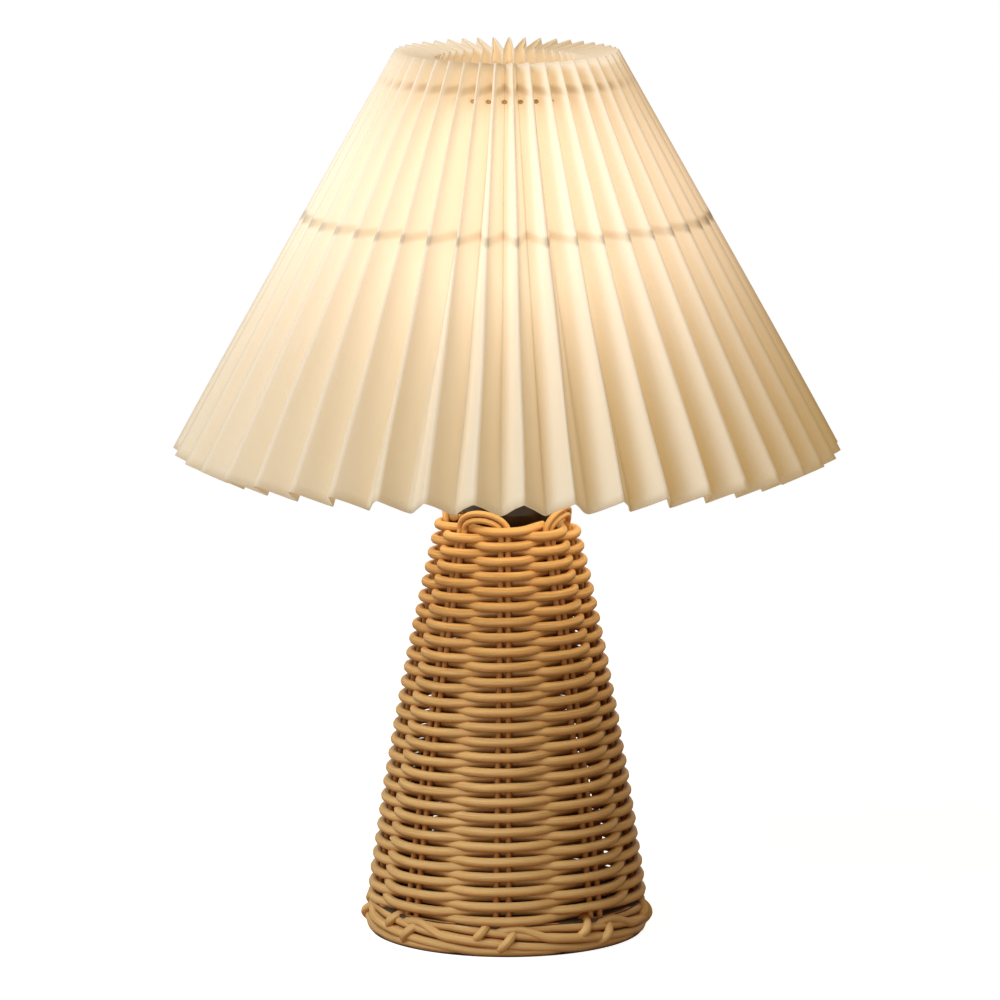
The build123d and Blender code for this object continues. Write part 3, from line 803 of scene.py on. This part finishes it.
def cloth_material(finish, shade):
    """Stiff cream cloth with a fine weave, lit from inside by the bulb, with painted shade in the collar's
    folds and along the hoops.
    """
    material, tree, shader = principled("Pleated cloth")
    east, north, up = parts_of(object_place(tree))
    sheet = add_node(tree, "ShaderNodeAttribute", attribute_name="cloth_place").outputs["Vector"]
    across, slope, wave = parts_of(sheet)
    # The bulb's light on the cloth falls with distance and with the slant of the cloth.
    bright_reach, brightest = 90 * MM, 1.25
    radius = (east * east + north * north).root()
    fall = middle(DOME) - up
    distance = (radius * radius + fall * fall).root()
    lean = cone_lean(shade)
    facing = ((radius * math.cos(lean) - fall * math.sin(lean)) / distance).at_least(0.0)
    light = (facing * bright_reach * bright_reach / (distance * distance)).at_most(brightest)
    # The collar's folds are gathered: painted shade darkens their valleys in the glow and in the base
    # colour, and the rest of the collar glows a little brighter.
    valley = spread(wave, 0.35, 0.97, 0.20, 0.0)
    collar_fold_shade = spread(up, shade.top - 24 * MM, shade.top - 16 * MM) * valley
    collar = spread(up, shade.top - 26 * MM, shade.top - 12 * MM, 1.0, 1.1) * (1.0 - collar_fold_shade)
    mottle = spread(noise(sheet, 26.0, 3.0)[0], 0.3, 0.7, 0.93, 1.05)
    amount = spread(light * collar * mottle, 0.05, 1.0, kind="LINEAR")
    glow = mixed(amount, finish.glow_far, finish.glow_near)
    fold = spread(wave, -1.0, 1.0, 0.86, 1.0)
    # Each hoop casts a painted shadow a little above its wire: it dims the glow on the folds and the ridges
    # by a share, and darkens the base colour.
    painted_fold_shade, hoop_shade_share = collar_fold_shade, 1.4
    neck_above, waist_above = 4.5 * MM, 2.0 * MM
    hoops = (NECK_HOOP, neck_above, 0.52, 0.08), (WAIST_HOOP, waist_above, 0.34, 0.34)
    for box, above, in_fold, on_ridge in hoops:
        apart = abs(up - (middle(box) + above))
        line = spread(apart, 0.4 * MM, 3 * MM, 1.0, 0.0) * spread(wave, 0.5, 0.98, in_fold, on_ridge)
        fold = fold * (1.0 - line)
        painted_fold_shade = painted_fold_shade.at_least(line * hoop_shade_share)
    # A short tick of painted shade on each ridge at the waist hoop's line, darker in colour and dimmer in
    # glow.
    apart = abs(up - (middle(WAIST_HOOP) + waist_above))
    ridge_tick_shade = spread(apart, 1 * MM, 3 * MM, 0.45, 0.0) * spread(wave, 0.70, 0.92)
    # Warp and weft follow the flat strip.
    flat = {"Vector": vector_of(tree, across, slope, 0.0), "Scale": 420.0, "Distortion": 1.2, "Detail": 1.0}
    warp, weft = (
        Field(add_node(tree, "ShaderNodeTexWave", flat, bands_direction=way).outputs[1]) for way in "XY"
    )
    thread = warp * 0.5 + weft * 0.5
    tint = mixed(mottle - 0.9, shade_of(finish.cloth, 0.95), finish.cloth)
    fill(shader, {
        "Base Color": mixed(painted_fold_shade.at_least(ridge_tick_shade), tint, finish.cloth_painted_shade),
        "Roughness": spread(thread, 0.0, 1.0, 0.88, 0.78),
        "Emission Color": scaled(glow, fold * (1.0 - ridge_tick_shade)),
        "Emission Strength": 1.0,
        "Sheen Weight": 0.12,
        "Specular IOR Level": 0.2,
    })
    bumped(shader, thread, 0.12 * MM, 0.35)
    return material


def grained_material(name, base, rough, metal=0.0, size=0.6 * MM, depth=0.04 * MM, deep=0.82):
    """A moulded, plated or cast finish with fine specks and uneven gloss."""
    material, tree, shader = principled(name)
    pattern = use_group(tree, grain_group(), {"Size": size, "Blotch": 11 * MM})
    fill(shader, {
        "Base Color": mixed(pattern["Blotch"], shade_of(base, deep), base),
        "Roughness": spread(pattern["Blotch"], 0.3, 0.7, rough * 0.8, rough * 1.2),
        "Metallic": metal,
    })
    bumped(shader, pattern["Speck"], depth, 0.4)
    return material


def wood_material(name, base):
    """Turned wood with rings and pores."""
    material, tree, shader = principled(name)
    turned = result(tree, "ShaderNodeMapping", {"Vector": object_place(tree), "Rotation": (0.1, 1.35, 0.3)})
    grain = {"Vector": turned, "Scale": 60.0, "Distortion": 4.0, "Detail": 3.0, "Detail Scale": 1.5}
    rings = Field(add_node(tree, "ShaderNodeTexWave", grain, wave_type="RINGS").outputs[1])
    fill(shader, {
        "Base Color": mixed(rings, base, shade_of(base, 0.62)),
        "Roughness": spread(rings, 0.0, 1.0, 0.62, 0.78),
    })
    bumped(shader, rings, 0.1 * MM, 0.3)
    return material


def opal_material(finish):
    """The bulb's milky dome, evenly lit and a little dimmer at its foot."""
    material, tree, shader = principled("Opal dome")
    pattern = use_group(tree, grain_group(), {"Size": 0.4 * MM, "Blotch": 20 * MM})
    up = parts_of(object_place(tree))[2]
    light = spread(up, DOME[0][2], DOME[1][2])
    fill(shader, {
        "Base Color": mixed(pattern["Blotch"], shade_of(finish.opal, 0.94), finish.opal),
        "Emission Color": mixed(light, shade_of(finish.opal_glow, 0.6), finish.opal_glow),
        "Emission Strength": 1.0,
        "Roughness": 0.4,
    })
    return material


def paint_nodes(names, material):
    """Gives some CAD nodes a finish in their objects' own slots."""
    for name in names:
        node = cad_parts[name]
        if not node.material_slots:
            node.data.materials.append(material)
        for slot in node.material_slots:
            slot.link = "OBJECT"
            slot.material = material


def numbered(stem, last):
    """Names of like nodes that are counted from one."""
    return [f"{stem}_{index}" for index in range(1, last + 1)]


class LAMP_OT_weave(bpy.types.Operator):
    """Winds the two weavers and bends the stakes and border of the foot"""

    bl_idname = "lamp.weave"
    bl_label = "Woven foot"

    def execute(self, context):
        foot = context.scene.lamp_foot
        look = fibre_group(), recess_group(foot), context.scene.lamp_finish
        weaver_look = cane_material("Weaver cane", *look, 1.0, 0.5, -4.4 * MM, -0.4 * MM)
        stake_look = cane_material("Stake cane", *look, 0.9, 0.4, -1.0 * MM, 6.0 * MM)
        border_look = cane_material("Border cane", *look, 0.0, 0.5, 0.5 * MM, 4.6 * MM)
        tree = cane_tree()
        pairs = foot.stake_pairs
        step = math.tau / pairs
        for seed, node in enumerate(("weaver_a", "weaver_b"), 3):
            self.lay("woven_" + node, [weaver_path(foot, node == "weaver_a")], tree, [node], {
                "Thickness": foot.weaver_cane, "Unevenness": 0.18, "Waver": 1.0 * MM,
                "Copies": 1, "Step": 0.0, "Seed": seed, "Material": weaver_look,
            })
        hairpins = numbered("stake_hairpin", pairs // 2)
        self.lay("stakes_and_loops", [hairpin_path(foot, True), hairpin_path(foot, False)], tree, hairpins, {
            "Thickness": foot.stake_cane, "Unevenness": 0.15, "Waver": 0.5 * MM,
            "Copies": pairs // 2, "Step": 2 * step, "Seed": 11, "Material": stake_look,
        })
        self.lay("rolled_border", border_paths(foot), tree, numbered("border_pair", pairs), {
            "Thickness": foot.border_cane, "Unevenness": 0.25, "Waver": 0.9 * MM,
            "Copies": pairs, "Step": step, "Seed": 23, "Material": border_look,
        })
        return {"FINISHED"}

    def lay(self, name, paths, tree, nodes, values):
        """Lays cane along paths as one piece of the lamp."""
        piece(name, grown(name, tree, values, path_curve(name, paths)), "lamp", nodes)


def fold_depth(shade, ridge_radius):
    """Depth of the folds, square to the cone, that keeps the width of the pleats' faces."""
    swing = 1 - math.cos(math.pi / shade.pleats)
    half = ridge_radius * math.cos(cone_lean(shade)) * swing
    return half + math.sqrt(half ** 2 - 2 * ridge_radius ** 2 * swing + shade.face_width ** 2)


class LAMP_OT_shade(bpy.types.Operator):
    """Folds the cloth of the shade"""

    bl_idname = "lamp.shade"
    bl_label = "Pleated shade"

    def execute(self, context):
        shade = context.scene.lamp_shade
        columns_a_pleat, rows = 16, 44
        lean = cone_lean(shade)
        strip_length = 2 * shade.pleats * shade.face_width
        strip_width = shade.drop / math.cos(lean)
        mesh = grown("pleated_cloth", pleat_tree(), {
            "Columns": shade.pleats * columns_a_pleat + 1, "Rows": rows, "Pleats": float(shade.pleats),
            "Neck Radius": shade.neck_radius, "Mouth Radius": shade.mouth_radius,
            "Top": shade.top, "Drop": shade.drop, "Lean": lean,
            "Neck Depth": fold_depth(shade, shade.neck_radius),
            "Mouth Depth": fold_depth(shade, shade.mouth_radius),
            "Crispness": shade.crispness, "First Ridge": shade.first_ridge,
            "Strip Length": strip_length, "Strip Width": strip_width,
            "Slack": shade.slack, "Hang": shade.ridge_hang,
            "Material": cloth_material(context.scene.lamp_finish, shade),
        })
        cloth = piece("pleated_cloth", mesh, "shade", ["pleated_shade"])
        skin = cloth.modifiers.new("Cloth", "SOLIDIFY")
        skin.thickness = shade.cloth
        skin.offset = -1
        return {"FINISHED"}


class LAMP_OT_hoops(bpy.types.Operator):
    """Finishes the shade's hoops and ties them to the folds"""

    bl_idname = "lamp.hoops"
    bl_label = "Hoops and ties"

    def execute(self, context):
        shade = context.scene.lamp_shade
        finish = context.scene.lamp_finish
        round_steps, ring_steps = 14, 120
        wire = grained_material("Hoop wire", finish.hoop, 0.4)
        half = shade.hoop_wire / 2
        turns = [math.tau * step / round_steps for step in range(round_steps + 1)]
        for node, box in (("neck_hoop", NECK_HOOP), ("waist_hoop", WAIST_HOOP)):
            radius, height = box[1][0] - half, middle(box)
            outline = [(radius + half * math.cos(turn), height + half * math.sin(turn)) for turn in turns]
            name = node + "_wire"
            piece(name, lathe(name, outline, wire, ring_steps), "shade", [node])
        ties = grown("neck_ties", tie_tree(), {
            "Count": shade.pleats, "Radius": shade.neck_radius - shade.tie_inside,
            "Height": NECK_HOOP[0][2] + shade.tie_above, "Turn": shade.first_ridge + math.pi / shade.pleats,
            "Size": shade.tie, "Material": grained_material("Tie thread", finish.tie, 0.8),
        })
        piece("neck_ties", ties, "shade")
        return {"FINISHED"}


def cap_relief(bulb, low, high):
    """The rounded right-hand thread between two heights, as a change of radius that fades at both ends."""
    def relief(turn, height):
        fade = max(0.0, min(1.0, (height - low) / bulb.cap_pitch * 2, (high - height) / bulb.cap_pitch * 2))
        wave = math.cos(math.tau * height / bulb.cap_pitch - turn)
        return -0.5 * bulb.cap_groove * fade * (1 - wave)
    return relief


class LAMP_OT_bulb(bpy.types.Operator):
    """Turns the bulb's lit dome, its housing and its threaded cap"""

    bl_idname = "lamp.bulb"
    bl_label = "Bulb"

    def execute(self, context):
        bulb = context.scene.lamp_bulb
        finish = context.scene.lamp_finish
        self.dome(bulb, finish)
        self.housing(bulb, finish)
        self.cap(bulb, finish)
        paint_nodes(["bulb_insulator"], grained_material("Cap insulator", finish.insulator, 0.3))
        paint_nodes(["bulb_contact"], grained_material("Contact brass", finish.brass, 0.35, metal=1.0))
        return {"FINISHED"}

    def dome(self, bulb, finish):
        """The milky dome, half of a ball with the foot of its wall."""
        steps = 20
        radius, base, crown = DOME[1][0], DOME[0][2], DOME[1][2]
        bends = [math.pi / 2 * step / steps for step in range(steps)]
        sides = [(radius * math.cos(bend), base + (crown - base) * math.sin(bend)) for bend in bends]
        outline = [(radius - bulb.dome_wall, base), *sides, (0.0, crown)]
        piece("lit_dome", lathe("lit_dome", outline, opal_material(finish)), "bulb", ["bulb_dome"])

    def housing(self, bulb, finish):
        """The moulded housing between the cap and the dome."""
        inset, lip, waist = 1.2 * MM, 0.4 * MM, 0.72
        radius = DOME[1][0]
        low, high = (corner[2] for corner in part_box("bulb_body"))
        neck, _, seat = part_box("bulb_cap")[1]
        outline = rounded([
            (neck - inset, low), (neck - inset, seat), (neck + lip, seat),
            (waist * radius, seat + (high - seat) / 2), (radius, high), (radius - bulb.dome_wall, high),
        ], reach=0.3, steps=5)
        look = grained_material("Bulb housing", finish.housing, 0.4, deep=0.95)
        piece("bulb_housing", lathe("bulb_housing", outline, look), "bulb", ["bulb_body"])

    def cap(self, bulb, finish):
        """The cap with its rolled thread."""
        rows = 66
        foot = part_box("bulb_cap")[0][2]
        neck, _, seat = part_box("bulb_cap")[1]
        start = foot + bulb.cap_bevel
        sides = [(neck, start + (seat - start) * row / rows) for row in range(rows + 1)]
        outline = [(0.0, foot), (neck - bulb.cap_bevel, foot), *sides, (neck - bulb.cap_groove, seat)]
        thread = cap_relief(bulb, start, seat - bulb.cap_pitch / 2)
        look = grained_material("Screw cap metal", finish.cap, 0.3, metal=1.0)
        piece("screw_cap", lathe("screw_cap", outline, look, relief=thread), "bulb", ["bulb_cap"])


class LAMP_OT_fittings(bpy.types.Operator):
    """Finishes the lampholder, the bracket, the tube and the parts inside the foot"""

    bl_idname = "lamp.fittings"
    bl_label = "Fittings"

    def execute(self, context):
        finish = context.scene.lamp_finish
        holder = ["lampholder_cup", "lampholder_skirt", "lower_shade_ring", "upper_shade_ring"]
        steel = ["centre_tube", "base_washer", "base_nut", "ballast_washer", "ballast_nut", "neck_washer",
                 "neck_nut", "bracket_plate", "bracket_ring", *numbered("bracket_arm", 3)]
        cast = {"size": 1.2 * MM, "depth": 0.2 * MM}
        rubber = {"size": 0.8 * MM, "depth": 0.2 * MM}
        for nodes, name, base, rough, more in (
            (holder, "Holder moulding", finish.holder, 0.38, {}),
            (["lampholder_core"], "Fired core", finish.core, 0.6, {}),
            (["screw_shell", "centre_contact"], "Holder brass", finish.brass, 0.3, {"metal": 1.0}),
            (steel, "Zinc steel", finish.steel, 0.35, {"metal": 1.0}),
            (["ballast_plate"], "Cast ballast", finish.ballast, 0.7, cast),
            (["foot_pad"], "Pad rubber", finish.pad, 0.9, rubber),
        ):
            paint_nodes(nodes, grained_material(name, base, rough, **more))
        # The dark wood of the board and disc also stands in as painted shade in the gaps of the foot.
        paint_nodes(["base_board", "neck_disc"], wood_material("Raw board", finish.board))
        return {"FINISHED"}


def soft_light(name, spot, size, power, tint, target):
    """A square soft light that looks at a point."""
    lamp = bpy.data.lights.new(name, "AREA")
    lamp.size = size
    lamp.energy = power
    lamp.color = tint
    thing = bpy.data.objects.new(name, lamp)
    thing.location = spot
    thing.rotation_euler = (Vector(target) - thing.location).to_track_quat("-Z", "Y").to_euler()
    bpy.context.scene.collection.objects.link(thing)
    return thing


class LAMP_OT_stage(bpy.types.Operator):
    """Sets the pale floor, the soft light and the camera"""

    bl_idname = "lamp.stage"
    bl_label = "Stage"

    def execute(self, context):
        scene = context.scene
        stage = scene.lamp_stage
        scene.view_settings.view_transform = "Standard"
        camera = bpy.data.cameras.new("Camera")
        camera.lens = stage.lens
        camera.sensor_width = 36.0
        camera.clip_end = 60.0
        eye = bpy.data.objects.new("Camera", camera)
        eye.location = (stage.camera_aside, -stage.camera_back, stage.camera_height)
        eye.rotation_euler = (math.pi / 2 - stage.camera_tilt, 0.0, 0.0)
        scene.collection.objects.link(eye)
        scene.camera = eye
        self.lights(stage)
        self.world(scene, stage)
        self.floor(scene, stage)
        return {"FINISHED"}

    def lights(self, stage):
        """Two soft lights, and the bulb's light that falls out of the shade on the foot."""
        white = (1.0, 1.0, 1.0)
        soft_light("Key", stage.key_place, stage.key_width, stage.key, stage.key_tint, stage.aim)
        soft_light("Fill", stage.fill_place, stage.fill_width, stage.fill, white, stage.aim)
        mouth = (0.0, 0.0, SHADE_LOW + stage.spill_above)
        spill = soft_light("Spill", mouth, stage.spill_width, stage.spill, stage.spill_tint, stage.aim)
        spill.data.shape = "DISK"
        spill.rotation_euler = (0.0, 0.0, 0.0)
        spill.visible_camera = False

    def world(self, scene, stage):
        """Even light all round, white where the camera sees it."""
        in_gloss = 0.8
        world = bpy.data.worlds.new("Studio")
        world.use_nodes = True
        tree = world.node_tree
        path = add_node(tree, "ShaderNodeLightPath").outputs
        seen = Field(path["Is Camera Ray"])
        seen = seen.at_least(Field(path["Is Glossy Ray"]) * in_gloss)
        seen = seen.at_least(Field(path["Is Transmission Ray"]))
        tint = mixed(seen, stage.sky_tint, (1.0, 1.0, 1.0))
        fill(tree.nodes["Background"], {0: tint, 1: seen * (1.0 - stage.sky) + stage.sky})
        scene.world = world

    def floor(self, scene, stage):
        """A wide pale floor that takes the lamp's shadow and meets the white backdrop."""
        material, tree, shader = principled("Pale floor")
        seen = Field(add_node(tree, "ShaderNodeLightPath").outputs["Is Camera Ray"])
        fill(shader, {
            "Base Color": (*stage.floor, 1.0),
            "Roughness": 0.9,
            "Specular IOR Level": 0.1,
            "Emission Color": (1.0, 1.0, 1.0, 1.0),
            "Emission Strength": seen * stage.floor_lift,
        })
        level = -stage.floor_below
        mesh = lathe("floor", [(stage.floor_reach, level), (0.0, level)], material)
        floor = bpy.data.objects.new("floor", mesh)
        scene.collection.objects.link(floor)


class LAMP_PT_panel(bpy.types.Panel):
    """Lists the lamp's sizes and the steps that build it"""

    bl_idname = "LAMP_PT_panel"
    bl_label = "Lamp"
    bl_space_type = "VIEW_3D"
    bl_region_type = "UI"
    bl_category = "Lamp"

    def draw(self, context):
        for group in GROUPS:
            settings = getattr(context.scene, group)
            column = self.layout.column(align=True)
            for label in settings.__annotations__:
                column.prop(settings, label)
        for step in STEPS:
            self.layout.operator(step.bl_idname)


GROUPS = {
    "lamp_foot": LampFoot,
    "lamp_shade": LampShade,
    "lamp_bulb": LampBulb,
    "lamp_finish": LampFinish,
    "lamp_stage": LampStage,
}
STEPS = (LAMP_OT_stage, LAMP_OT_weave, LAMP_OT_shade, LAMP_OT_hoops, LAMP_OT_bulb, LAMP_OT_fittings)
CLASSES = (*GROUPS.values(), *STEPS, LAMP_PT_panel)


def register():
    for kind in CLASSES:
        bpy.utils.register_class(kind)
    for name, group in GROUPS.items():
        setattr(bpy.types.Scene, name, bpy.props.PointerProperty(type=group))


def unregister():
    for name in GROUPS:
        delattr(bpy.types.Scene, name)
    for kind in reversed(CLASSES):
        bpy.utils.unregister_class(kind)


def main():
    """Registers the add-on and builds the lamp step by step."""
    register()
    bpy.ops.lamp.stage()
    bpy.ops.lamp.weave()
    bpy.ops.lamp.shade()
    bpy.ops.lamp.hoops()
    bpy.ops.lamp.bulb()
    bpy.ops.lamp.fittings()


if __name__ == "__main__":
    main()
